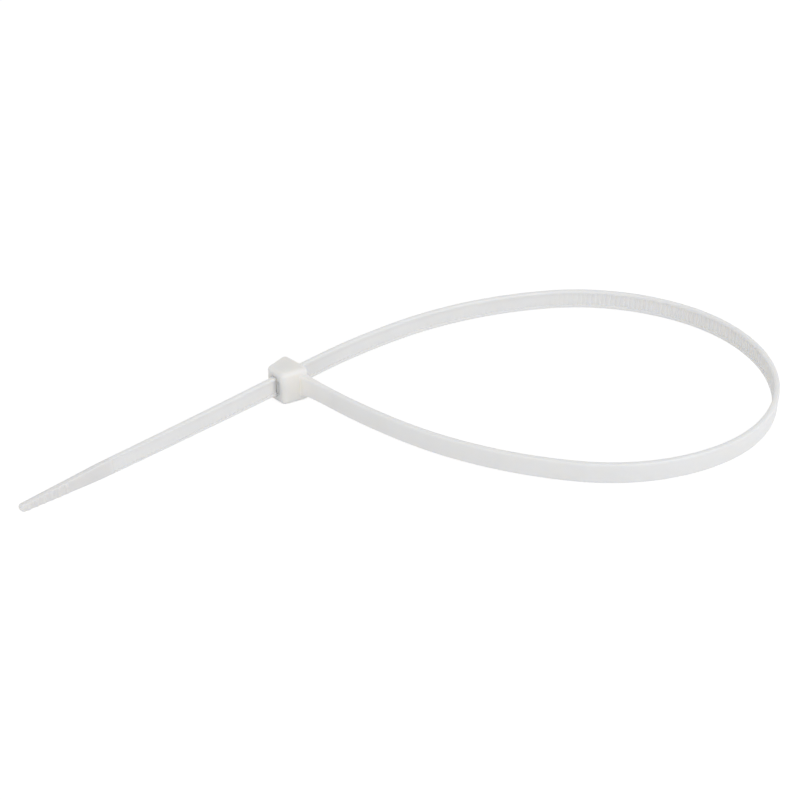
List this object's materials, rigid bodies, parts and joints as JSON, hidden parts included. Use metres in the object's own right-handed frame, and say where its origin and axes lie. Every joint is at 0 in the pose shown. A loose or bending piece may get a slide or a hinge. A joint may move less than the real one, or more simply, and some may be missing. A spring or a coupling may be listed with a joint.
{
  "type": "cable tie",
  "caption": "Self-locking nylon cable tie, its toothed strap threaded through the head and drawn into a wide teardrop loop with a tapered tail.",
  "frame": {"origin": "on the head's lower flat face, under the crossing of the middle lines of the strap's root and of the slot", "axes": "+X along the strap's root as it leaves the head, -Y the way the tail leaves the slot, +Z across the strap's width, upwards"},
  "size_m": [0.0936, 0.1629, 0.0084],
  "materials": {
    "natural_nylon": "satin, milky natural nylon"
  },
  "bodies": {
    "root": {"cable_tie": "natural_nylon"}
  },
  "joints": []
}
